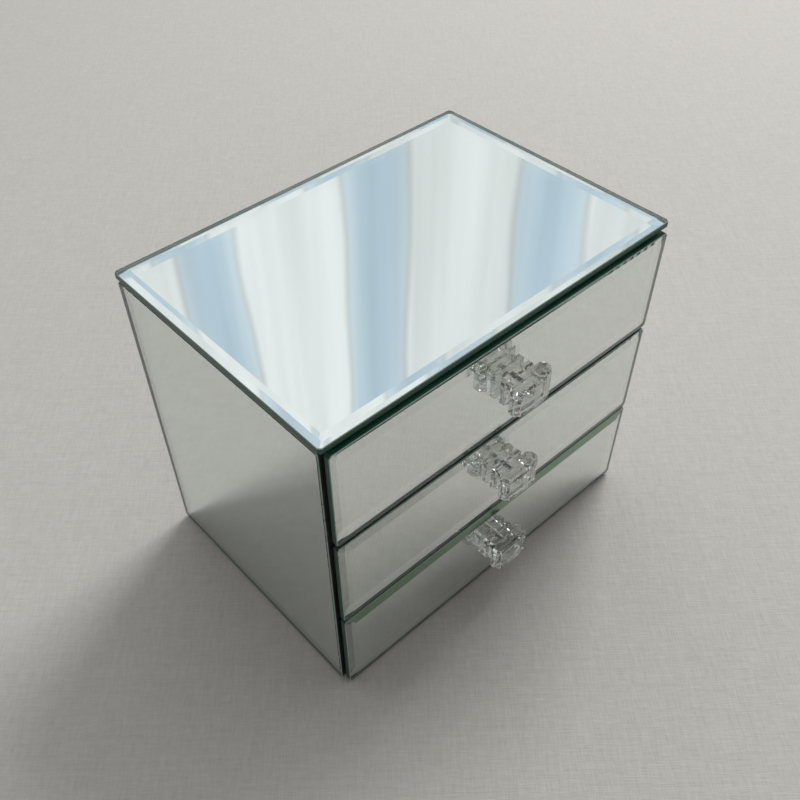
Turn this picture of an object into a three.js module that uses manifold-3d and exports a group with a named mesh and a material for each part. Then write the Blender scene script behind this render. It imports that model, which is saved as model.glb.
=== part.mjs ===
// A mirrored vanity trinket box with three drawers: bevelled mirrors bonded to a black carcass,
// and lined trays behind bevelled mirror fronts, each pulled by a clear block knob.
//
// Millimetres. +X is the box's right as seen from the front, the drawers open towards -Y, +Z is up.
// The origin is the centre of the base, on the surface that the box stands on.
import * as THREE from "three";
import { mergeVertices } from "three/addons/utils/BufferGeometryUtils.js";
import Module from "manifold-3d";

const wasm = await Module();
wasm.setup();

// Overall size, measured on the top mirror.
const WIDTH = 220;
const DEPTH = 152;
const HEIGHT = 187;

// Mirror glass. The top and the drawer fronts have a wide bevel, the sides only a ground arris.
const GLASS = 4;
const WIDE_BEVEL = { width: 6, depth: 0.58 };
const ARRIS = { width: 0.6, depth: 0.4 };
const CORNER_CLIP = 1.2;
const BOND = 0.3;

// Carcass boards and felts.
const BOARD = 5;
const BACK_BOARD = 4;
const SHELF = 3;
const BASE_FELT = 1.5;
const BACK_FELT = 1;
const FELT_INSET = 3;
const SIDE_OVERHANG = 0.6; // the top mirror past each side mirror
const SIDE_REVEAL = 2; // dark line between the top mirror and the side mirrors
const CARCASS_FRONT = -DEPTH / 2 + 2.8;

// Drawer fronts, stacked from the base to the top mirror.
const FRONT_PROUD = 2.6; // their faces past the top mirror's front edge
const FRONT_INSET = 2.7; // their ends in from the top mirror's sides
const FRONT_LINES = [1.2, 2]; // open lines between the fronts, lower then upper
const TOP_LINE = 1.3; // open line under the top mirror

// Trays.
const TRAY_HEIGHT = 50;
const TRAY_WALL = 4;
const TRAY_BOTTOM = 3;
const FRONT_BOARD = 7;
const SIDE_CLEARANCE = 0.8;
const FLOOR_CLEARANCE = 0.3;
const BACK_CLEARANCE = 1;
const LINER = 1;
const LINER_DROP = 1; // the tray's rim above the liner's
const PAD = 7;
const PAD_CLEARANCE = 0.4;

// Knob: a foot and a waist carry a head, whose front corners are eight-sided posts. The left post
// stops level with the head, and the right one rises past it to a cut crown.
const KNOB_FOOT = { width: 19.2, height: 16, depth: 2.2 };
const KNOB_WAIST = { width: 17.2, height: 14.4, low: 3.2, high: 6 };
const KNOB_HEAD = { width: 15.4, height: 16.4, depth: 13.5, flat: 10.8, facet: 1.3, turn: 0.5 };
const KNOB_CLIP = 1;
const POST = { radius: 4.2, setback: 4.3, facet: 1.3, shoulder: 9.3, crown: 2.4 };
const POST_SIDES = 8;
const CROWN_STEPS = 3;

// Machine screw that holds the knob from inside, with its head sunk in the tray's front board.
const SCREW = { radius: 2, headRadius: 3.8, headHeight: 2.4, grip: 5, slot: 0.9, slotDepth: 1.2 };
const WASHER = { radius: 4.6, thickness: 0.8 };
const SCREW_HOLE_RADIUS = 2.3;
const COUNTERBORE = { radius: 5.2, depth: 4 };
const ROUND_SIDES = 24;

// Levels and planes that follow from the sizes above.
const TOP_UNDERSIDE = HEIGHT - GLASS;
const SIDE_FACE = WIDTH / 2 - SIDE_OVERHANG;
const BOARD_FACE = SIDE_FACE - GLASS - BOND;
const BAY_SIDE = BOARD_FACE - BOARD;
const CARCASS_BOTTOM = BASE_FELT + BOND;
const CARCASS_TOP = TOP_UNDERSIDE - BOND;
const BACK_BOARD_FACE = DEPTH / 2 - BOND - BACK_FELT - BOND;
const BAY_BACK = BACK_BOARD_FACE - BACK_BOARD;
const FRONT_FACE = -DEPTH / 2 - FRONT_PROUD;
const FRONT_STACK = TOP_UNDERSIDE - TOP_LINE - BASE_FELT - FRONT_LINES[0] - FRONT_LINES[1];
const FRONT_HEIGHT = FRONT_STACK / 3;
const LOWER_LINE = BASE_FELT + FRONT_HEIGHT + FRONT_LINES[0] / 2;
const UPPER_LINE = LOWER_LINE + FRONT_LINES[0] / 2 + FRONT_HEIGHT + FRONT_LINES[1] / 2;
const DRAWERS = [
  { name: "bottom_drawer", front: BASE_FELT, floor: CARCASS_BOTTOM + BOARD },
  { name: "middle_drawer", front: LOWER_LINE + FRONT_LINES[0] / 2, floor: LOWER_LINE + SHELF / 2 },
  { name: "top_drawer", front: UPPER_LINE + FRONT_LINES[1] / 2, floor: UPPER_LINE + SHELF / 2 },
];

// Materials.
const finish = (color, roughness, metalness) =>
  new THREE.MeshStandardMaterial({ color, roughness, metalness });
const mirror = finish(0xd6dedb, 0.03, 1);
const blackBoard = finish(0x121413, 0.5, 0);
const felt = finish(0x17171a, 0.95, 0);
const velvet = finish(0x1b1a1f, 0.9, 0);
const crystal = finish(0xe9eeec, 0.05, 0);
const plated = finish(0xb9bcbc, 0.3, 1);

const box = new THREE.Group();

function addMesh(parent, name, geometry, material) {
  const mesh = new THREE.Mesh(geometry, material);
  mesh.name = name;
  parent.add(mesh);
  return mesh;
}

// A board that fills three spans, each given as [low, high].
function addBoard(parent, name, material, x, y, z) {
  const [width, depth, height] = [x, y, z].map(([low, high]) => high - low);
  const board = addMesh(parent, name, new THREE.BoxGeometry(width, depth, height), material);
  board.position.set(x[0] + width / 2, y[0] + depth / 2, z[0] + height / 2);
  return board;
}

// The spans [-half, half] and span shrunk by margin at both ends.
const across = (half) => [-half, half];
const within = ([low, high], margin) => [low + margin, high - margin];

function toSolid(geometry) {
  const bare = geometry.clone();
  bare.deleteAttribute("normal");
  bare.deleteAttribute("uv");
  const merged = mergeVertices(bare, 1e-4);
  const vertProperties = new Float32Array(merged.attributes.position.array);
  const triVerts = new Uint32Array(merged.index.array);
  return new wasm.Manifold(new wasm.Mesh({ numProp: 3, vertProperties, triVerts }));
}

function toGeometry(solid) {
  const mesh = solid.getMesh();
  const geometry = new THREE.BufferGeometry();
  geometry.setAttribute("position", new THREE.BufferAttribute(mesh.vertProperties, 3));
  geometry.setIndex(new THREE.BufferAttribute(mesh.triVerts, 1));
  geometry.computeVertexNormals();
  return geometry;
}

// The corners, anticlockwise, of a rectangle in the XY plane with its four corners clipped.
function clippedRectangle(width, height, clip, z) {
  const [x, y] = [width / 2, height / 2];
  return [
    [x, -y + clip], [x, y - clip], [x - clip, y], [-x + clip, y],
    [-x, y - clip], [-x, -y + clip], [-x + clip, -y], [x - clip, -y],
  ].map(([px, py]) => new THREE.Vector3(px, py, z));
}

// A closed body through a stack of clipped rectangles, each given as [width, height, clip, z].
function stackSections(sections) {
  const rings = sections.map((section) => clippedRectangle(...section));
  const count = rings[0].length;
  const points = rings.flat();
  const faces = [];
  rings.slice(1).forEach((ring, level) => {
    for (let i = 0; i < count; i++) {
      const low = level * count + i;
      const lowNext = level * count + ((i + 1) % count);
      faces.push(low, lowNext, lowNext + count, low, lowNext + count, low + count);
    }
  });
  const top = points.length - count;
  for (let i = 1; i < count - 1; i++) {
    faces.push(0, i + 1, i, top, top + i, top + i + 1);
  }
  return new THREE.BufferGeometry().setFromPoints(points).setIndex(faces);
}

// A sheet of glass in the XY plane with its back at z = 0 and its bevelled face towards +Z.
function glassSheet(width, height, bevel) {
  const edge = GLASS - bevel.depth;
  const innerClip = CORNER_CLIP / 2;
  return stackSections([
    [width, height, CORNER_CLIP, 0],
    [width, height, CORNER_CLIP, edge],
    [width - 2 * bevel.width, height - 2 * bevel.width, innerClip, GLASS],
  ]);
}

// A cylinder along Y from y = 0 to y = length.
function rod(radius, length) {
  const sides = ROUND_SIDES;
  return new THREE.CylinderGeometry(radius, radius, length, sides).translate(0, length / 2, 0);
}

// A cylinder along Z from z = low to z = high.
function drill(radius, low, high) {
  return toSolid(rod(radius, high - low).rotateX(Math.PI / 2).translate(0, 0, low));
}

function addTopMirror() {
  const top = addMesh(box, "top_mirror", glassSheet(WIDTH, DEPTH, WIDE_BEVEL), mirror);
  top.position.z = TOP_UNDERSIDE;
}

// A side mirror stands upright with its face turned out; side is -1 for the left, 1 for the right.
function addSideMirror(name, side) {
  const low = BASE_FELT;
  const high = TOP_UNDERSIDE - SIDE_REVEAL;
  const depth = DEPTH / 2 - CARCASS_FRONT;
  const sheet = addMesh(box, name, glassSheet(depth, high - low, ARRIS), mirror);
  sheet.rotation.set(Math.PI / 2, side * Math.PI / 2, 0);
  sheet.position.set(side * (SIDE_FACE - GLASS), DEPTH / 2 - depth / 2, (low + high) / 2);
}

function addCarcass() {
  const full = across(BOARD_FACE);
  const depth = [CARCASS_FRONT, BAY_BACK - BOND];
  const bottom = [CARCASS_BOTTOM, CARCASS_BOTTOM + BOARD];
  const top = [CARCASS_TOP - BOARD, CARCASS_TOP];
  const upright = [bottom[1] + BOND, top[0] - BOND];
  const bay = across(BAY_SIDE - BOND);
  addBoard(box, "bottom_board", blackBoard, full, depth, bottom);
  addBoard(box, "top_board", blackBoard, full, depth, top);
  addBoard(box, "left_board", blackBoard, [-BOARD_FACE, -BAY_SIDE], depth, upright);
  addBoard(box, "right_board", blackBoard, [BAY_SIDE, BOARD_FACE], depth, upright);
  addBoard(box, "back_board", blackBoard, full, [BAY_BACK, BACK_BOARD_FACE], [bottom[0], top[1]]);
  for (const [name, line] of [["lower_shelf", LOWER_LINE], ["upper_shelf", UPPER_LINE]]) {
    addBoard(box, name, blackBoard, bay, depth, [line - SHELF / 2, line + SHELF / 2]);
  }
}

function addFelts() {
  const foot = within([CARCASS_FRONT, BACK_BOARD_FACE], FELT_INSET);
  const back = [BACK_BOARD_FACE + BOND, BACK_BOARD_FACE + BOND + BACK_FELT];
  const side = across(BOARD_FACE - FELT_INSET);
  addBoard(box, "base_felt", felt, side, foot, [0, BASE_FELT]);
  addBoard(box, "back_felt", felt, across(BOARD_FACE), back, [CARCASS_BOTTOM, CARCASS_TOP]);
}

// The knob's head in plan, foot side first: its front is flat in the middle and turns back a little
// towards the posts. Its upper and lower edges are ground to a facet.
function knobHead() {
  const { width, height, depth, flat, facet, turn } = KNOB_HEAD;
  const plan = new THREE.Shape([
    [-width / 2, KNOB_WAIST.high], [width / 2, KNOB_WAIST.high], [width / 2, depth - turn],
    [flat / 2, depth], [-flat / 2, depth], [-width / 2, depth - turn],
  ].map(([x, out]) => new THREE.Vector2(x, out)));
  const bevel = { bevelThickness: facet, bevelSize: facet, bevelOffset: -facet, bevelSegments: 1 };
  const block = new THREE.ExtrudeGeometry(plan, { depth: height - 2 * facet, ...bevel });
  return toSolid(block.translate(0, 0, facet - height / 2).rotateX(Math.PI / 2));
}

// An eight-sided post along Y, one side facing out. It ends in a facet, or on top in a crown.
function knobPost(crowned) {
  const { radius, facet, shoulder, crown } = POST;
  const half = KNOB_HEAD.height / 2;
  const profile = [[0, -half], [radius - facet, -half], [radius, facet - half]];
  if (crowned) {
    profile.push([radius, shoulder]);
    for (let i = 1; i < CROWN_STEPS; i++) {
      const turn = (i / CROWN_STEPS) * Math.PI / 2;
      profile.push([radius * Math.cos(turn), shoulder + crown * Math.sin(turn)]);
    }
    profile.push([0, shoulder + crown]);
  } else {
    profile.push([radius, half - facet], [radius - facet, half], [0, half]);
  }
  const points = profile.map(([r, y]) => new THREE.Vector2(r, y));
  return new THREE.LatheGeometry(points, POST_SIDES).rotateY(Math.PI / POST_SIDES);
}

// The knob in the XY plane: foot on z = 0, growing towards +Z, posts along Y.
function knobGeometry() {
  const { width, height, depth } = KNOB_FOOT;
  const { low, high } = KNOB_WAIST;
  const waist = [KNOB_WAIST.width, KNOB_WAIST.height, KNOB_CLIP];
  const stem = toSolid(stackSections([
    [width, height, KNOB_CLIP, 0],
    [width, height, KNOB_CLIP, depth],
    [...waist, low],
    [...waist, high + KNOB_CLIP],
  ]));
  const out = KNOB_HEAD.depth - POST.setback;
  const left = toSolid(knobPost(false).translate(-KNOB_HEAD.width / 2, 0, out));
  const right = toSolid(knobPost(true).translate(KNOB_HEAD.width / 2, 0, out));
  const hole = drill(SCREW_HOLE_RADIUS, -1, SCREW.grip + 1);
  return toGeometry(stem.add(knobHead()).add(left).add(right).subtract(hole));
}

// A slotted screw along Z with its head's underside at z = 0 and its thread towards +Z.
function screwGeometry(length) {
  const { radius, headRadius, headHeight, slot, slotDepth } = SCREW;
  const profile = [
    [0, length], [radius - 0.5, length], [radius, length - 0.5], [radius, 0], [headRadius, 0],
    [headRadius, -headHeight / 2], [headRadius * 0.7, -headHeight * 0.9], [0, -headHeight],
  ].map(([r, z]) => new THREE.Vector2(r, z));
  const body = new THREE.LatheGeometry(profile.reverse(), ROUND_SIDES).rotateX(Math.PI / 2);
  const cut = new THREE.BoxGeometry(3 * headRadius, slot, 2 * slotDepth);
  cut.translate(0, 0, -headHeight);
  return toGeometry(toSolid(body).subtract(toSolid(cut)));
}

function washerGeometry() {
  const disc = drill(WASHER.radius, 0, WASHER.thickness);
  return toGeometry(disc.subtract(drill(SCREW_HOLE_RADIUS, -1, 1 + WASHER.thickness)));
}

// The pieces on a drawer's screw axis. Each is made lying down with its back at z = 0, then turned
// to face -Y, so that its own +Z runs out of the drawer.
function addFront(drawer, frontBoard, walls) {
  const middle = drawer.front + FRONT_HEIGHT / 2;
  const hole = drill(SCREW_HOLE_RADIUS, -1, 1 + GLASS);
  const width = WIDTH - 2 * FRONT_INSET;
  const sheet = toSolid(glassSheet(width, FRONT_HEIGHT, WIDE_BEVEL)).subtract(hole);
  const front = addMesh(box, `${drawer.name}_front_mirror`, toGeometry(sheet), mirror);
  front.rotation.x = Math.PI / 2;
  front.position.set(0, FRONT_FACE + GLASS, middle);

  const boardSize = [2 * BAY_SIDE - 2 * SIDE_CLEARANCE, walls[1] - walls[0], FRONT_BOARD];
  const board = new THREE.BoxGeometry(...boardSize);
  board.translate(0, (walls[0] + walls[1]) / 2 - middle, FRONT_BOARD / 2);
  const bored = toSolid(board)
    .subtract(drill(SCREW_HOLE_RADIUS, -1, 1 + FRONT_BOARD))
    .subtract(drill(COUNTERBORE.radius, -1, COUNTERBORE.depth));
  const inner = addMesh(box, `${drawer.name}_front_board`, toGeometry(bored), blackBoard);
  inner.rotation.x = Math.PI / 2;
  inner.position.set(0, frontBoard[1], middle);

  const knob = addMesh(box, `${drawer.name}_knob`, knobGeometry(), crystal);
  knob.rotation.x = Math.PI / 2;
  knob.position.set(0, FRONT_FACE - BOND, middle);

  const seat = frontBoard[1] - COUNTERBORE.depth + BOND;
  const washer = addMesh(box, `${drawer.name}_washer`, washerGeometry(), plated);
  washer.rotation.x = Math.PI / 2;
  washer.position.set(0, seat + WASHER.thickness, middle);

  const head = seat + WASHER.thickness + BOND;
  const length = head - FRONT_FACE + BOND + SCREW.grip;
  const screw = addMesh(box, `${drawer.name}_screw`, screwGeometry(length), plated);
  screw.rotation.x = Math.PI / 2;
  screw.position.set(0, head, middle);
}

// An open tray of sheet, thick on every side, that fills three spans.
function addLiner(name, x, y, z) {
  const solidOf = (spanX, spanY, spanZ) => {
    const [width, depth, height] = [spanX, spanY, spanZ].map(([low, high]) => high - low);
    const block = new THREE.BoxGeometry(width, depth, height);
    block.translate(spanX[0] + width / 2, spanY[0] + depth / 2, spanZ[0] + height / 2);
    return toSolid(block);
  };
  const hollow = solidOf(within(x, LINER), within(y, LINER), [z[0] + LINER, z[1] + LINER]);
  addMesh(box, name, toGeometry(solidOf(x, y, z).subtract(hollow)), velvet);
}

function addDrawer(drawer) {
  const side = BAY_SIDE - SIDE_CLEARANCE;
  const frontBoard = [FRONT_FACE + GLASS + BOND, FRONT_FACE + GLASS + BOND + FRONT_BOARD];
  const back = BAY_BACK - BACK_CLEARANCE;
  const base = drawer.floor + FLOOR_CLEARANCE;
  const walls = [base + TRAY_BOTTOM + BOND, base + TRAY_HEIGHT];
  const backWall = [back - TRAY_WALL, back];
  const sideWall = [frontBoard[1] + BOND, backWall[0] - BOND];
  addFront(drawer, frontBoard, walls);

  const { name } = drawer;
  const leftWall = [-side, -side + TRAY_WALL];
  const rightWall = [side - TRAY_WALL, side];
  const bottom = [base, base + TRAY_BOTTOM];
  addBoard(box, `${name}_bottom`, blackBoard, across(side), [frontBoard[0], back], bottom);
  addBoard(box, `${name}_left_wall`, blackBoard, leftWall, sideWall, walls);
  addBoard(box, `${name}_right_wall`, blackBoard, rightWall, sideWall, walls);
  addBoard(box, `${name}_back_wall`, blackBoard, across(side), backWall, walls);

  const linerX = across(side - TRAY_WALL - BOND);
  const linerZ = [walls[0], walls[1] - LINER_DROP];
  addLiner(`${name}_liner`, linerX, sideWall, linerZ);
  const padX = within(linerX, LINER + PAD_CLEARANCE);
  const padY = within(sideWall, LINER + PAD_CLEARANCE);
  const padBase = linerZ[0] + LINER + BOND;
  addBoard(box, `${name}_pad`, velvet, padX, padY, [padBase, padBase + PAD]);
}

addTopMirror();
addSideMirror("left_mirror", -1);
addSideMirror("right_mirror", 1);
addCarcass();
addFelts();
DRAWERS.forEach(addDrawer);

export default box;
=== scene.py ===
"""The looks of the mirrored trinket box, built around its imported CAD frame. Lengths are in metres."""
import math

import bmesh
import bpy
from mathutils import Matrix, Vector


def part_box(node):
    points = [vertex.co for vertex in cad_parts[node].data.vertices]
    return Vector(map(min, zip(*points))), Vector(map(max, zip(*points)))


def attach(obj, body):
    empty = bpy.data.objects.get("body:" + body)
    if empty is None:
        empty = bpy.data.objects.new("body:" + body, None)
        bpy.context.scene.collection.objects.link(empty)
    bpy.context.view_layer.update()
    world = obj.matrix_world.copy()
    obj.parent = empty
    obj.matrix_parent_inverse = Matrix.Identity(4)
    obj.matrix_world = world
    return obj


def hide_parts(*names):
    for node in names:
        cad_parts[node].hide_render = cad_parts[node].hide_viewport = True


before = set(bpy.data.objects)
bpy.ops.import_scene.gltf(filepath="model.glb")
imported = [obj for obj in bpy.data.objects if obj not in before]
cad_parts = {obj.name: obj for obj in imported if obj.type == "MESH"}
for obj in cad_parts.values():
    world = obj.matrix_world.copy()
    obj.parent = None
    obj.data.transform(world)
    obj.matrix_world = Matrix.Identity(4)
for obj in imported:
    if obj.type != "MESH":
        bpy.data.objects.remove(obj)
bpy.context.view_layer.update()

MM = 0.001

# Camera: the photograph's angle, as an orbit round a point near the box's middle.
AZIMUTH = math.radians(-40.65)
ELEVATION = math.radians(47.42)
ROLL = math.radians(-1.67)
DISTANCE = 0.5097
LOOK_HEIGHT = 0.077
LOOK_RIGHT = -0.0091
LOOK_UP = -0.0155
LENS = 40.58
SENSOR = 36
SHIFT = (0.02, 0.0425)
NEAREST = 0.01

# The floor, and how far its weave is turned from the box's sides.
FLOOR_HALF = 4.0
WEAVE_TURN = math.radians(41)

# Where the window's light comes from, and the level directions ahead to it and across it.
WINDOW_CENTRE = Vector((0.62, 0.62, 0.48)).normalized()
WINDOW_AHEAD = (0.65, 0.76, 0)
WINDOW_ACROSS = (0.76, -0.65, 0)
PANE_SPACING = 0.23  # from pane to pane, for each unit of distance to the window

# Its folds and panes fade in between these cosines of the angle from its centre.
WINDOW_EDGE = (0.86, 0.94)

# Mirror glass, as the CAD frame has it. A bevel is its width and its depth.
GLASS = 4 * MM
WIDE_BEVEL = (6 * MM, 0.58 * MM)
ARRIS = (0.6 * MM, 0.4 * MM)
CORNER_CLIP = 1.2 * MM
HOLE_RADIUS = 2.3 * MM

# Finer than the CAD: the stoned corner between a bevel and the ground edge, and the back's arris.
SEAM = 0.3 * MM
BACK_ARRIS = 0.3 * MM

GLASS_IOR = 1.52
CRYSTAL_IOR = 1.54
BOUNCES = 32

# Eased edges of boards, felts and liners.
BOARD_EASE = 0.4 * MM
CLOTH_EASE = 0.3 * MM
EASE_SEGMENTS = 2
EASE_ANGLE = math.radians(40)
WELD_REACH = 0.02 * MM

# Hardware: corners closer than the reach are joined, and faces flatter than the flat angle. Joins
# sharper than the other two stay an edge, on cut crystal and on turned metal.
CORNER_REACH = 0.005 * MM
FLAT_ANGLE = math.radians(0.5)
CUT_ANGLE = math.radians(18)
TURNED_ANGLE = math.radians(28)

# Velvet pads: how much smaller they start, their voxel, how far they may swell, how full they are.
PAD_SHRINK = 3 * MM
PAD_VOXEL = 4 * MM
PAD_CAP = 5 * MM
PAD_PRESSURE = 4.0
PAD_FRAMES = 20

DRAWERS = ("top_drawer", "middle_drawer", "bottom_drawer")
CARCASS_BOARDS = (
    "bottom_board", "top_board", "left_board", "right_board", "back_board", "lower_shelf",
    "upper_shelf",
)
TRAY_BOARDS = ("front_board", "left_wall", "right_wall", "back_wall", "bottom")


# ---------------------------------------------------------------- nodes and materials

class Graph:
    """The nodes of one material or world. An input takes a value or another node's output."""

    def __init__(self, owner):
        owner.use_nodes = True
        self.tree = owner.node_tree
        self.tree.nodes.clear()

    def add(self, kind, inputs=None, **settings):
        node = self.tree.nodes.new(kind)
        for key, value in settings.items():
            setattr(node, key, value)
        for key, value in (inputs or {}).items():
            if isinstance(value, bpy.types.NodeSocket):
                self.tree.links.new(value, node.inputs[key])
            else:
                node.inputs[key].default_value = value
        return node

    def scaled(self, place, scale):
        return self.add("ShaderNodeMapping", {"Vector": place, "Scale": scale}).outputs[0]

    def place(self, scale=(1, 1, 1)):
        """Where a point is on its piece, stretched by scale."""
        return self.scaled(self.add("ShaderNodeTexCoord").outputs["Object"], scale)

    def noise(self, place, scale, detail=3.0, roughness=0.5):
        inputs = {"Vector": place, "Scale": scale, "Detail": detail, "Roughness": roughness}
        return self.add("ShaderNodeTexNoise", inputs).outputs["Fac"]

    def spread(self, value, low, high, out_low, out_high):
        inputs = {0: value, 1: low, 2: high, 3: out_low, 4: out_high}
        return self.add("ShaderNodeMapRange", inputs).outputs[0]

    def ramp(self, value, *stops):
        node = self.add("ShaderNodeValToRGB", {"Fac": value})
        elements = node.color_ramp.elements
        while len(elements) < len(stops):
            elements.new(0.5)
        for element, (position, colour) in zip(elements, stops):
            element.position = position
            element.color = (*colour, 1)
        return node.outputs["Color"]

    def bump(self, height, distance):
        inputs = {"Height": height, "Distance": distance, "Strength": 1.0}
        return self.add("ShaderNodeBump", inputs).outputs["Normal"]

    def math(self, operation, a, b=0.0):
        return self.add("ShaderNodeMath", {0: a, 1: b}, operation=operation).outputs[0]

    def blend(self, a, share, b):
        """The share of a, and the rest of b."""
        return self.math(
            "ADD", self.math("MULTIPLY", a, share), self.math("MULTIPLY", b, 1 - share))


def surface(build):
    """A material whose one Principled shader takes the inputs that build(graph) returns."""
    material = bpy.data.materials.new(build.__name__)
    graph = Graph(material)
    shader = graph.add("ShaderNodeBsdfPrincipled", build(graph))
    graph.add("ShaderNodeOutputMaterial", {"Surface": shader.outputs[0]})
    return material


def glass_face(graph):
    """Polished float glass with the faint haze of handling."""
    haze = graph.noise(graph.place(), 18.0, 4.0)
    return {
        "Base Color": (0.985, 1.0, 0.992, 1),
        "Roughness": graph.spread(haze, 0.45, 0.8, 0.0, 0.012),
        "Transmission Weight": 1.0,
        "IOR": GLASS_IOR,
    }


def silvering(graph):
    """The silver behind the glass, tinted by the glass that the light crosses twice."""
    tone = graph.noise(graph.place(), 7.0, 2.0)
    return {
        "Base Color": graph.ramp(tone, (0.3, (0.865, 0.905, 0.885)), (0.7, (0.88, 0.912, 0.895))),
        "Metallic": 1.0,
        "Roughness": graph.spread(tone, 0.3, 0.7, 0.0, 0.006),
    }


def edge_tone(graph):
    """Grinding streaks along an edge, over slower patches."""
    streaks = graph.noise(graph.place((60, 60, 60)), 3.0, 3.0)
    patches = graph.noise(graph.place(), 60.0, 2.0)
    return graph.blend(streaks, 0.5, patches)


def ground_edge(graph):
    """The ground edge of float glass: deep green, because the light has come through the sheet, and
    kept dark as painted shade.
    """
    tone = edge_tone(graph)
    return {
        # Dark green: the glass's colour darkened as painted shade; on the top and front mirrors the
        # edges towards the window get painted light instead.
        "Base Color": graph.ramp(tone, (0.3, (0.005, 0.050, 0.031)), (0.7, (0.018, 0.095, 0.062))),
        "Roughness": graph.spread(tone, 0.3, 0.7, 0.3, 0.42),
        "Transmission Weight": 0.12,
        "IOR": GLASS_IOR,
        "Normal": graph.bump(tone, 0.02 * MM),
    }


def painted_light_edge(graph):
    """The narrow stoned corner of a glass edge: frosted, and coloured light as a painted highlight. It
    also paints light on the ground edges towards the window.
    """
    tone = edge_tone(graph)
    return {
        # Light green: a painted highlight on the seam, and painted light on the window-side edges.
        "Base Color": graph.ramp(tone, (0.3, (0.40, 0.58, 0.49)), (0.7, (0.55, 0.72, 0.64))),
        "Roughness": graph.spread(tone, 0.3, 0.7, 0.25, 0.4),
        "Transmission Weight": 0.35,
        "IOR": GLASS_IOR,
        "Normal": graph.bump(tone, 0.02 * MM),
    }


def painted_trapped_light(graph):
    """Painted light: a green metal sheen standing in for the light that a bevel keeps inside the sheet,
    showing the green of the glass.
    """
    tone = edge_tone(graph)
    return {
        # Green metal: painted light kept inside the sheet, not the bevel's own colour.
        "Base Color": graph.ramp(tone, (0.3, (0.21, 0.325, 0.225)), (0.7, (0.27, 0.385, 0.285))),
        "Metallic": 1.0,
        "Roughness": graph.spread(tone, 0.3, 0.7, 0.10, 0.18),
    }


def black_paint(graph):
    """Satin black paint on fibreboard: a slight orange peel, with dusty low spots."""
    peel = graph.noise(graph.place(), 900.0, 3.0)
    dust = graph.noise(graph.place(), 45.0, 5.0)
    return {
        "Base Color": graph.ramp(
            dust, (0.35, (0.008, 0.009, 0.008)), (0.75, (0.022, 0.023, 0.021))),
        "Roughness": graph.spread(dust, 0.3, 0.75, 0.34, 0.55),
        "Normal": graph.bump(peel, 0.06 * MM),
    }


def felt(graph):
    """Pressed felt: short fibres in every direction."""
    fibres = graph.noise(graph.place(), 1600.0, 5.0, 0.7)
    clumps = graph.noise(graph.place(), 160.0, 3.0)
    return {
        "Base Color": graph.ramp(
            clumps, (0.3, (0.009, 0.009, 0.010)), (0.7, (0.022, 0.022, 0.024))),
        "Roughness": 0.95,
        "Sheen Weight": 0.35,
        "Sheen Roughness": 0.5,
        "Normal": graph.bump(fibres, 0.3 * MM),
    }


def velvet(graph):
    """Short black pile that lies in brushed patches, each catching the light its own way."""
    pile = graph.noise(graph.place(), 2200.0, 4.0, 0.7)
    brushed = graph.noise(graph.place((1, 2.2, 1)), 28.0, 3.0)
    tone = graph.blend(brushed, 0.8, pile)
    return {
        "Base Color": graph.ramp(
            tone, (0.35, (0.014, 0.013, 0.017)), (0.65, (0.045, 0.042, 0.054))),
        "Roughness": 0.9,
        "Sheen Weight": 0.8,
        "Sheen Roughness": 0.35,
        "Sheen Tint": (0.75, 0.72, 0.82, 1),
        "Normal": graph.bump(pile, 0.25 * MM),
    }


def crystal(graph):
    """Polished crystal with a grey tint, painted shade standing in for the dark room seen in it; its
    facets touched by faint wipe marks.
    """
    wipes = graph.noise(graph.place(), 220.0, 3.0)
    return {
        # Grey tint: painted shade that darkens all that is seen through the knob.
        "Base Color": (0.72, 0.735, 0.71, 1),
        "Roughness": graph.spread(wipes, 0.5, 0.8, 0.0, 0.02),
        "Transmission Weight": 1.0,
        "IOR": CRYSTAL_IOR,
    }


def plated_steel(graph):
    """Zinc plate, turned and a little dull."""
    turned = graph.noise(graph.place((1, 300, 1)), 400.0, 3.0)
    return {
        "Base Color": graph.ramp(turned, (0.3, (0.42, 0.43, 0.43)), (0.7, (0.62, 0.63, 0.62))),
        "Metallic": 1.0,
        "Roughness": graph.spread(turned, 0.3, 0.7, 0.25, 0.4),
        "Normal": graph.bump(turned, 0.03 * MM),
    }


def linen(graph):
    """Pale woven cloth: fine threads both ways, with the thick slubs of linen."""
    place = graph.add("ShaderNodeTexCoord").outputs["Object"]
    laid = graph.add("ShaderNodeVectorRotate", {"Vector": place, "Angle": WEAVE_TURN}).outputs[0]

    def threads(across, along):
        warp = graph.noise(graph.scaled(laid, (across, along, 1)), 1.0, 2.0)
        weft = graph.noise(graph.scaled(laid, (along, across, 1)), 1.0, 2.0)
        return graph.blend(warp, 0.5, weft)

    fine = threads(1300, 120)
    slubs = threads(420, 28)
    weave = graph.blend(fine, 0.65, slubs)
    return {
        "Base Color": graph.ramp(weave, (0.35, (0.54, 0.528, 0.508)), (0.62, (0.66, 0.648, 0.626))),
        "Roughness": 0.9,
        "Sheen Weight": 0.1,
        "Normal": graph.bump(weave, 0.45 * MM),
    }


GLASS_FACE = surface(glass_face)
SILVERING = surface(silvering)
GROUND_EDGE = surface(ground_edge)
PAINTED_LIGHT_EDGE = surface(painted_light_edge)
PAINTED_TRAPPED_LIGHT = surface(painted_trapped_light)
BLACK_PAINT = surface(black_paint)
FELT = surface(felt)
VELVET = surface(velvet)
CRYSTAL = surface(crystal)
PLATED = surface(plated_steel)
LINEN = surface(linen)


# ---------------------------------------------------------------- camera, floor and light

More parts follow.
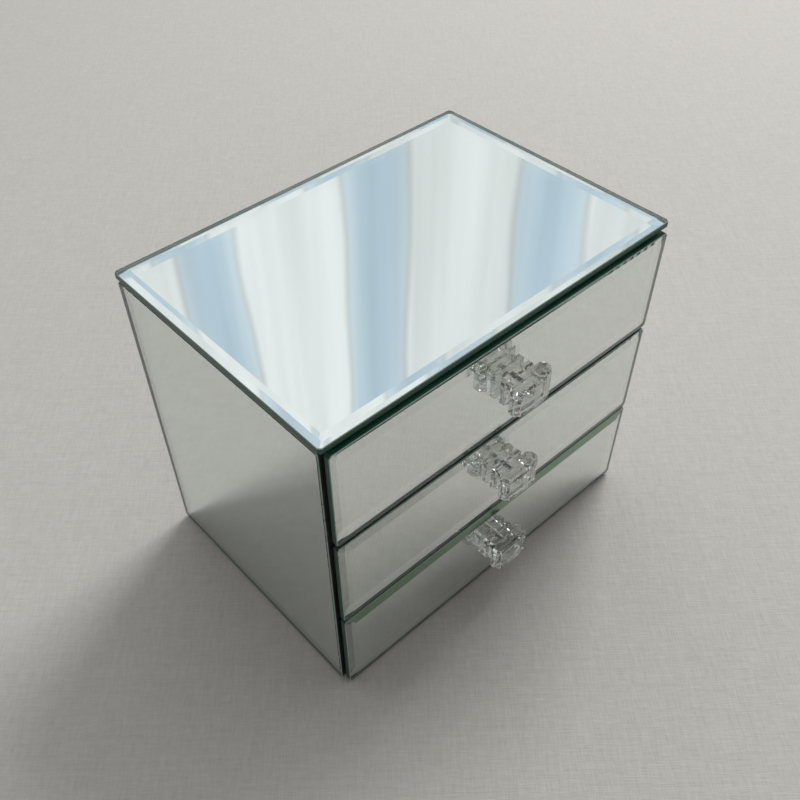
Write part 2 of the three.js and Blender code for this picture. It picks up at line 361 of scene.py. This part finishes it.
def add_camera():
    back = Vector((
        math.sin(AZIMUTH) * math.cos(ELEVATION),
        -math.cos(AZIMUTH) * math.cos(ELEVATION),
        math.sin(ELEVATION),
    ))
    level = Vector((math.cos(AZIMUTH), math.sin(AZIMUTH), 0))
    rise = back.cross(level)
    target = Vector((0, 0, LOOK_HEIGHT)) + LOOK_RIGHT * level + LOOK_UP * rise
    right = math.cos(ROLL) * level + math.sin(ROLL) * rise
    up = math.cos(ROLL) * rise - math.sin(ROLL) * level
    turn = Matrix((right, up, back)).transposed().to_4x4()
    camera = bpy.data.objects.new("camera", bpy.data.cameras.new("camera"))
    camera.matrix_world = Matrix.Translation(target + DISTANCE * back) @ turn
    camera.data.lens = LENS
    camera.data.sensor_width = SENSOR
    camera.data.shift_x, camera.data.shift_y = SHIFT
    camera.data.clip_start = NEAREST
    bpy.context.scene.collection.objects.link(camera)
    bpy.context.scene.camera = camera


def add_floor():
    mesh = bpy.data.meshes.new("floor")
    half = FLOOR_HALF
    corners = [(-half, -half, 0), (half, -half, 0), (half, half, 0), (-half, half, 0)]
    mesh.from_pydata(corners, [], [(0, 1, 2, 3)])
    mesh.materials.append(LINEN)
    floor = bpy.data.objects.new("floor", mesh)
    bpy.context.scene.collection.objects.link(floor)


def window_glow(graph, toward):
    """Brightness and tone from the dim room in front to the veiled window behind the box."""
    return graph.ramp(
        graph.spread(toward, -1.0, 1.0, 0.0, 1.0),
        (0.0, (0.065, 0.061, 0.056)), (0.5, (0.125, 0.119, 0.109)),
        (0.78, (0.55, 0.55, 0.54)), (0.92, (0.84, 0.845, 0.84)))


def window_panes(graph, across, wander):
    """The tint of cool upright panes between pale stretches of veil, at even spacing."""
    turn = graph.math("ADD", graph.math("MULTIPLY", across, math.tau / PANE_SPACING), wander)
    return graph.ramp(
        graph.spread(graph.math("COSINE", turn), -1.0, 1.0, 0.0, 1.0),
        (0.58, (0.96, 0.985, 1.0)), (0.68, (0.72, 0.76, 0.79)),
        (0.76, (0.72, 0.83, 0.93)), (1.0, (0.62, 0.77, 0.91)))


def add_world():
    """A soft surround: a veiled window behind the box, with upright folds and cool panes, and a
    dimmer room in front."""
    world = bpy.data.worlds.new("studio")
    bpy.context.scene.world = world
    graph = Graph(world)
    view = graph.add("ShaderNodeTexCoord").outputs["Generated"]

    def along(axis):
        inputs = {0: view, 1: axis}
        product = graph.add("ShaderNodeVectorMath", inputs, operation="DOT_PRODUCT")
        return product.outputs["Value"]

    toward = along(WINDOW_CENTRE)
    ahead = graph.math("MAXIMUM", along(WINDOW_AHEAD), 0.05)
    across = graph.math("DIVIDE", along(WINDOW_ACROSS), ahead)
    height = graph.math("DIVIDE", along((0, 0, 1)), ahead)
    curtain = graph.add("ShaderNodeCombineXYZ", {"X": across, "Y": height}).outputs[0]
    folds = graph.noise(graph.scaled(curtain, (13.0, 0.5, 1)), 1.0, 3.0)
    wander = graph.noise(graph.scaled(curtain, (3.0, 1.6, 1)), 1.0, 2.0)

    inside = graph.spread(toward, *WINDOW_EDGE, 0.0, 1.0)
    panes = window_panes(graph, across, graph.spread(wander, 0.3, 0.7, -0.35, 0.35))
    inputs = {0: inside, 6: window_glow(graph, toward), 7: panes}
    tinted = graph.add("ShaderNodeMix", inputs, data_type="RGBA", blend_type="MULTIPLY")
    shade = graph.math("MULTIPLY", graph.spread(folds, 0.35, 0.65, -0.12, 0.12), inside)
    strength = graph.math("ADD", 1.0, shade)
    background = graph.add(
        "ShaderNodeBackground", {"Color": tinted.outputs[2], "Strength": strength})
    graph.add("ShaderNodeOutputWorld", {"Surface": background.outputs[0]})


def add_area_light(name, place, aim, size, power, colour):
    data = bpy.data.lights.new(name, "AREA")
    data.shape = "RECTANGLE"
    data.size, data.size_y = size
    data.energy = power
    data.color = colour
    lamp = bpy.data.objects.new(name, data)
    lamp.location = place
    lamp.rotation_euler = (Vector(aim) - Vector(place)).to_track_quat("-Z", "Y").to_euler()
    bpy.context.scene.collection.objects.link(lamp)
    return lamp


def add_lights():
    """The window's light, the room's fill, and a small lamp that shows only as glints."""
    key = add_area_light(
        "window_key", place=(1.75, 0.5, 1.9), aim=(0, 0, 0.05), size=(1.0, 1.0), power=36.5,
        colour=(1.0, 0.975, 0.935))
    fill = add_area_light(
        "room_fill", place=(-1.2, -1.7, 1.6), aim=(0, 0, 0.05), size=(1.8, 1.8), power=5.2,
        colour=(1.0, 0.98, 0.95))
    for lamp in (key, fill):
        lamp.visible_glossy = False
        lamp.visible_transmission = False
    glints = add_area_light(
        "room_glints", place=(-1.0, -0.5, 0.55), aim=(0, 0, 0.1), size=(0.18, 0.5), power=0.8,
        colour=(1, 1, 1))
    glints.visible_diffuse = False


# ---------------------------------------------------------------- meshes and pieces

# What each face of a mirror sheet is made of. The light seam material and the green bevel are painted
# light.
SHEET_MATERIALS = (GLASS_FACE, SILVERING, GROUND_EDGE, PAINTED_LIGHT_EDGE, BLACK_PAINT, PAINTED_TRAPPED_LIGHT)
FACE_SLOT, SILVER_SLOT, GROUND_SLOT, PAINTED_LIGHT_SLOT, BLACK_SLOT, TRAPPED_LIGHT_SLOT = range(6)


def extent(node):
    """A CAD node's lowest and highest corners at rest, its size and its middle."""
    low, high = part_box(node)
    return low, high, high - low, (low + high) / 2


def new_piece(name, mesh, body, replaced):
    """A piece that rides on a body and stands for a CAD node, which it hides."""
    piece = bpy.data.objects.new(name, mesh)
    bpy.context.scene.collection.objects.link(piece)
    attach(piece, body)
    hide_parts(replaced)
    return piece


def finish_mesh(name, built, *materials):
    """Turns a bmesh into a mesh with these materials."""
    mesh = bpy.data.meshes.new(name)
    built.to_mesh(mesh)
    built.free()
    for material in materials:
        mesh.materials.append(material)
    return mesh


def clipped_rectangle(half_u, half_v, clip):
    """The corners, anticlockwise, of a rectangle with its corners clipped."""
    u, v = half_u, half_v
    return [
        (u, -v + clip), (u, v - clip), (u - clip, v), (-u + clip, v),
        (-u, v - clip), (-u, -v + clip), (-u + clip, -v), (u - clip, -v),
    ]


def sheet_mesh(name, size_u, size_v, bevel, place):
    """A bevelled mirror sheet. place turns (u, v, out) into the row frame."""
    width, depth = bevel
    rings = [
        (0, BACK_ARRIS, CORNER_CLIP),
        (BACK_ARRIS, 0, CORNER_CLIP),
        (GLASS - depth - SEAM, 0, CORNER_CLIP),
        (GLASS - depth + SEAM * depth / width, SEAM, CORNER_CLIP),
        (GLASS, width, CORNER_CLIP / 2),
    ]
    # The seam band gets the light seam material, a painted highlight.
    bands = (GROUND_SLOT, GROUND_SLOT, PAINTED_LIGHT_SLOT, FACE_SLOT)
    built = bmesh.new()
    loops = []
    for out, inset, clip in rings:
        outline = clipped_rectangle(size_u / 2 - inset, size_v / 2 - inset, clip)
        loops.append([built.verts.new(place @ Vector((u, v, out))) for u, v in outline])
    for slot, low, high in zip(bands, loops, loops[1:]):
        for i in range(len(low)):
            j = (i + 1) % len(low)
            built.faces.new((low[i], low[j], high[j], high[i])).material_index = slot
    built.faces.new(reversed(loops[0])).material_index = SILVER_SLOT
    built.faces.new(loops[-1]).material_index = FACE_SLOT
    return finish_mesh(name, built, *SHEET_MATERIALS)


def facing(u, v, out, origin):
    """The matrix that turns (u, v, out) into the row frame, with its origin on a sheet's back."""
    turn = Matrix((Vector(u), Vector(v), Vector(out))).transposed().to_4x4()
    return Matrix.Translation(origin) @ turn


def blacken_front_edge(mesh):
    """Turns the ground edge that faces the drawers black, with the boards' black material."""
    for face in mesh.polygons:
        if face.material_index == GROUND_SLOT and face.normal.y < -0.5:
            face.material_index = BLACK_SLOT


def paint_window_light_on_edges(mesh):
    """Painted light: the ground edges towards the window get the light seam material, standing in for
    the light that enters them and makes them glow.
    """
    for face in mesh.polygons:
        if face.material_index == GROUND_SLOT and max(face.normal.x, face.normal.y) > 0.5:
            face.material_index = PAINTED_LIGHT_SLOT


def paint_trapped_light_on_top_bevel(mesh):
    """Paints a front mirror's top bevel with the green look of light that stays inside the sheet."""
    width, depth = WIDE_BEVEL
    for face in mesh.polygons:
        leans_up = face.normal.z > 0.5 * depth / width
        runs_across = abs(face.normal.x) < 0.01
        if face.material_index == FACE_SLOT and leans_up and runs_across:
            face.material_index = TRAPPED_LIGHT_SLOT


def drill_hole(piece, centre):
    """Cuts the screw hole through a front mirror, along Y."""
    bpy.ops.mesh.primitive_cylinder_add(
        vertices=32, radius=HOLE_RADIUS, depth=4 * GLASS, location=centre,
        rotation=(math.pi / 2, 0, 0))
    cutter = bpy.context.object
    for material in piece.data.materials:
        cutter.data.materials.append(material)
    for face in cutter.data.polygons:
        face.material_index = GROUND_SLOT
    modifier = piece.modifiers.new("hole", "BOOLEAN")
    modifier.operation = "DIFFERENCE"
    modifier.solver = "EXACT"
    modifier.object = cutter
    with bpy.context.temp_override(object=piece, active_object=piece):
        bpy.ops.object.modifier_apply(modifier=modifier.name)
    bpy.data.objects.remove(cutter)


def add_top_mirror():
    low, _, size, middle = extent("top_mirror")
    place = facing((1, 0, 0), (0, 1, 0), (0, 0, 1), (middle.x, middle.y, low.z))
    mesh = sheet_mesh("top_mirror_sheet", size.x, size.y, WIDE_BEVEL, place)
    paint_window_light_on_edges(mesh)
    new_piece("top_mirror_sheet", mesh, "carcass", "top_mirror")


def add_side_mirror(node, side):
    """A side mirror faces out; side is -1 for the left and 1 for the right."""
    low, high, size, middle = extent(node)
    back = high.x if side < 0 else low.x
    place = facing((0, side, 0), (0, 0, 1), (side, 0, 0), (back, middle.y, middle.z))
    mesh = sheet_mesh(node + "_sheet", size.y, size.z, ARRIS, place)
    blacken_front_edge(mesh)
    new_piece(node + "_sheet", mesh, "carcass", node)


def add_front_mirror(drawer):
    node = drawer + "_front_mirror"
    _, high, size, middle = extent(node)
    place = facing((1, 0, 0), (0, 0, 1), (0, -1, 0), (middle.x, high.y, middle.z))
    mesh = sheet_mesh(node + "_sheet", size.x, size.z, WIDE_BEVEL, place)
    paint_window_light_on_edges(mesh)
    # Only the bottom drawer's top bevel gets this painted light.
    if drawer == "bottom_drawer":
        paint_trapped_light_on_top_bevel(mesh)
    piece = new_piece(node + "_sheet", mesh, drawer, node)
    drill_hole(piece, middle)


def add_mirrors():
    add_top_mirror()
    add_side_mirror("left_mirror", -1)
    add_side_mirror("right_mirror", 1)
    for drawer in DRAWERS:
        add_front_mirror(drawer)


def dress_board(node, material, ease_width):
    """Gives a CAD board its material and eased edges."""
    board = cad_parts[node]
    board.data.materials.clear()
    board.data.materials.append(material)
    weld = board.modifiers.new("weld", "WELD")
    weld.merge_threshold = WELD_REACH
    ease = board.modifiers.new("ease", "BEVEL")
    ease.width = ease_width
    ease.segments = EASE_SEGMENTS
    ease.limit_method = "ANGLE"
    ease.angle_limit = EASE_ANGLE
    ease.harden_normals = True


def add_boards():
    for node in CARCASS_BOARDS:
        dress_board(node, BLACK_PAINT, BOARD_EASE)
    for node in ("base_felt", "back_felt"):
        dress_board(node, FELT, CLOTH_EASE)
    for drawer in DRAWERS:
        for board in TRAY_BOARDS:
            dress_board(f"{drawer}_{board}", BLACK_PAINT, BOARD_EASE)


def smooth_copy(node, name, material, body, sharp_angle):
    """A copy of a CAD node with its corners joined, shaded smooth across all but sharp edges."""
    built = bmesh.new()
    built.from_mesh(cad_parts[node].data)
    bmesh.ops.remove_doubles(built, verts=built.verts, dist=CORNER_REACH)
    bmesh.ops.dissolve_limit(
        built, angle_limit=FLAT_ANGLE, verts=built.verts, edges=built.edges)
    for edge in built.edges:
        edge.smooth = edge.is_manifold and edge.calc_face_angle(0) < sharp_angle
    for face in built.faces:
        face.smooth = True
    mesh = finish_mesh(name, built, material)
    piece = new_piece(name, mesh, body, node)
    flatten = piece.modifiers.new("flat_faces", "WEIGHTED_NORMAL")
    flatten.weight = 100
    flatten.keep_sharp = True


def add_hardware():
    for drawer in DRAWERS:
        knob = f"{drawer}_knob"
        smooth_copy(knob, knob + "_crystal", CRYSTAL, drawer, CUT_ANGLE)
        for part in ("screw", "washer"):
            node = f"{drawer}_{part}"
            smooth_copy(node, node + "_plated", PLATED, drawer, TURNED_ANGLE)


def swell(pad):
    """Fills the pad by cloth pressure, with gravity off, and keeps the shape that it takes."""
    cloth = pad.modifiers.new("cloth", "CLOTH")
    cloth.settings.use_pressure = True
    cloth.settings.uniform_pressure_force = PAD_PRESSURE
    cloth.settings.effector_weights.gravity = 0
    for step in range(1, PAD_FRAMES + 1):
        bpy.context.scene.frame_set(step)
    bpy.ops.object.modifier_apply(modifier=cloth.name)
    bpy.context.scene.frame_set(1)


def pad_mesh(size):
    """A stuffed velvet pad round the origin, swelled to fit a box of that size."""
    bpy.ops.mesh.primitive_cube_add(size=1)
    pad = bpy.context.object
    start = size - Vector((PAD_SHRINK, PAD_SHRINK, PAD_SHRINK / 2))
    pad.data.transform(Matrix.Diagonal((*start, 1)))
    remesh = pad.modifiers.new("remesh", "REMESH")
    remesh.mode = "VOXEL"
    remesh.voxel_size = PAD_VOXEL
    bpy.ops.object.modifier_apply(modifier=remesh.name)
    rest = [vertex.co.copy() for vertex in pad.data.vertices]
    swell(pad)
    for vertex, before in zip(pad.data.vertices, rest):
        moved = vertex.co - before
        reach = min(moved.length, PAD_CAP)
        vertex.co = before + moved.normalized() * reach
        for axis in range(2):
            half = size[axis] / 2
            vertex.co[axis] = max(-half, min(half, vertex.co[axis]))
        vertex.co.z = max(-size.z / 2, vertex.co.z)
    smooth = pad.modifiers.new("smooth", "SUBSURF")
    smooth.levels = 1
    bpy.ops.object.modifier_apply(modifier=smooth.name)
    mesh = pad.data
    for face in mesh.polygons:
        face.use_smooth = True
    bpy.data.objects.remove(pad)
    mesh.materials.append(VELVET)
    return mesh


def add_linings():
    """A liner and a soft pad in each tray. The trays are alike, so one pad's shape serves all."""
    _, _, size, _ = extent("top_drawer_pad")
    pad = pad_mesh(size)
    for drawer in DRAWERS:
        dress_board(f"{drawer}_liner", VELVET, CLOTH_EASE)
        _, _, _, middle = extent(f"{drawer}_pad")
        mesh = pad.copy()
        mesh.transform(Matrix.Translation(middle))
        piece = new_piece(f"{drawer}_pad_soft", mesh, drawer, f"{drawer}_pad")


def set_bounces_and_tones():
    """Bounces enough for light to leave the knobs and the bevels, and tones left as they are."""
    bpy.context.scene.view_settings.view_transform = "Standard"
    cycles = bpy.context.scene.cycles
    cycles.max_bounces = BOUNCES
    cycles.glossy_bounces = BOUNCES
    cycles.transmission_bounces = BOUNCES


add_camera()
add_floor()
add_world()
add_lights()
add_mirrors()
add_boards()
add_hardware()
add_linings()
set_bounces_and_tones()
